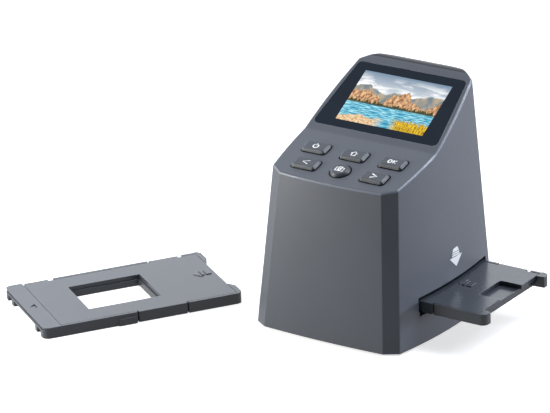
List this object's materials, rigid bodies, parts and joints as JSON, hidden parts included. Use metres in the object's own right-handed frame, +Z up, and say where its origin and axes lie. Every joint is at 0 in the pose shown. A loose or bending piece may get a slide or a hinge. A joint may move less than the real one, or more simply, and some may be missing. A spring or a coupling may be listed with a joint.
{
  "type": "film negative scanner",
  "caption": "Wedge-shaped table-top film scanner with a sloping screen and keys, a film holder sliding through its foot, and a loose hinged film holder beside it.",
  "frame": {"origin": "on the table under the middle of the housing's foot, on the mount 'base'", "axes": "+X to the right seen from the front, +Y to the back with the sockets, +Z up; the film holder slides along X"},
  "size_m": [0.2359, 0.1546, 0.1104],
  "materials": {
    "shell_abs": "satin moulded ABS, dark grey",
    "base_abs": "matte black moulded ABS",
    "foot_rubber": "matte black rubber",
    "screw_steel": "zinc-plated steel",
    "window_acrylic": "clear acrylic with a dark printed border",
    "display": "lit colour display",
    "display_frame": "stamped steel",
    "flat_cable": "polyimide film with copper",
    "circuit_board": "green solder mask",
    "switch_plastic": "black moulded nylon",
    "chip_epoxy": "black epoxy",
    "socket_steel": "tinned steel shell",
    "tunnel_abs": "matte black ABS",
    "lens_glass": "coated optical glass",
    "barrel_black": "black polycarbonate",
    "guide_abs": "black ABS",
    "spring_steel": "spring steel",
    "light_box_white": "white polycarbonate",
    "diffuser_opal": "opal acrylic",
    "led_white": "white ceramic lamp package",
    "key_abs": "satin moulded ABS",
    "holder_dark": "satin moulded ABS, dark grey",
    "holder_grey": "satin moulded ABS, mid grey",
    "pin_steel": "steel wire"
  },
  "bodies": {
    "scanner": {"base_screws": "screw_steel", "bottom_cover": "base_abs", "button_board": "circuit_board", "button_board_screws": "screw_steel", "button_ribbon": "flat_cable", "camera_tower": "tunnel_abs", "card_slot": "socket_steel", "detent_spring": "spring_steel", "diffuser": "diffuser_opal", "guide_screws": "screw_steel", "image_sensor": "chip_epoxy", "lcd_frame": "display_frame", "lcd_frame_screws": "screw_steel", "lcd_panel": "display", "lcd_ribbon": "flat_cable", "led_board": "circuit_board", "led_ribbon": "flat_cable", "leds": "led_white", "lens_barrel": "barrel_black", "lens_elements": "lens_glass", "lens_holder": "barrel_black", "light_box": "light_box_white", "lower_film_guide": "guide_abs", "main_board": "circuit_board", "main_board_chips": "chip_epoxy", "main_board_screws": "screw_steel", "rubber_feet": "foot_rubber", "screen_window": "window_acrylic", "sensor_board": "circuit_board", "sensor_connector": "switch_plastic", "tact_switches": "switch_plastic", "tower_screws": "screw_steel", "upper_film_guide": "guide_abs", "upper_housing": "shell_abs", "usb_socket": "socket_steel", "video_socket": "switch_plastic"},
    "power_key": {"key_power": "key_abs", "plunger_power": "switch_plastic"},
    "home_key": {"key_home": "key_abs", "plunger_home": "switch_plastic"},
    "ok_key": {"key_ok": "key_abs", "plunger_ok": "switch_plastic"},
    "left_key": {"key_left": "key_abs", "plunger_left": "switch_plastic"},
    "camera_key": {"key_camera": "key_abs", "plunger_camera": "switch_plastic"},
    "right_key": {"key_right": "key_abs", "plunger_right": "switch_plastic"},
    "slot_holder": {"slot_holder_base": "holder_dark", "slot_holder_lid": "holder_dark", "slot_holder_pins": "pin_steel"},
    "loose_holder": {"loose_holder_base": "holder_grey", "loose_holder_pins": "pin_steel"},
    "loose_lid": {"loose_holder_lid": "holder_grey"}
  },
  "joints": [
    {"name": "power_key_press", "type": "slide", "parent": "scanner", "child": "power_key", "axis": [0, 0.2689, -0.9632], "range_m": [0, 0.0006], "stiffness_N_per_m": 2500},
    {"name": "home_key_press", "type": "slide", "parent": "scanner", "child": "home_key", "axis": [0, 0.2689, -0.9632], "range_m": [0, 0.0006], "stiffness_N_per_m": 2500},
    {"name": "ok_key_press", "type": "slide", "parent": "scanner", "child": "ok_key", "axis": [0, 0.2689, -0.9632], "range_m": [0, 0.0006], "stiffness_N_per_m": 2500},
    {"name": "left_key_press", "type": "slide", "parent": "scanner", "child": "left_key", "axis": [0, 0.2689, -0.9632], "range_m": [0, 0.0006], "stiffness_N_per_m": 2500},
    {"name": "camera_key_press", "type": "slide", "parent": "scanner", "child": "camera_key", "axis": [0, 0.2689, -0.9632], "range_m": [0, 0.0006], "stiffness_N_per_m": 2500},
    {"name": "right_key_press", "type": "slide", "parent": "scanner", "child": "right_key", "axis": [0, 0.2689, -0.9632], "range_m": [0, 0.0006], "stiffness_N_per_m": 2500},
    {"name": "slot_holder_slide", "type": "slide", "parent": "scanner", "child": "slot_holder", "axis": [1, 0, 0], "range_m": [-0.048, 0.076]},
    {"name": "loose_holder_lift", "type": "slide", "parent": "scanner", "child": "loose_holder", "axis": [0, 0, 1], "range_m": [0, 0.06]},
    {"name": "loose_lid_hinge", "type": "hinge", "parent": "loose_holder", "child": "loose_lid", "pos_m": [-0.13327, -0.03257, 0.00415], "axis": [-0.5534, -0.8329, 0], "range_deg": [0, 175]}
  ]
}
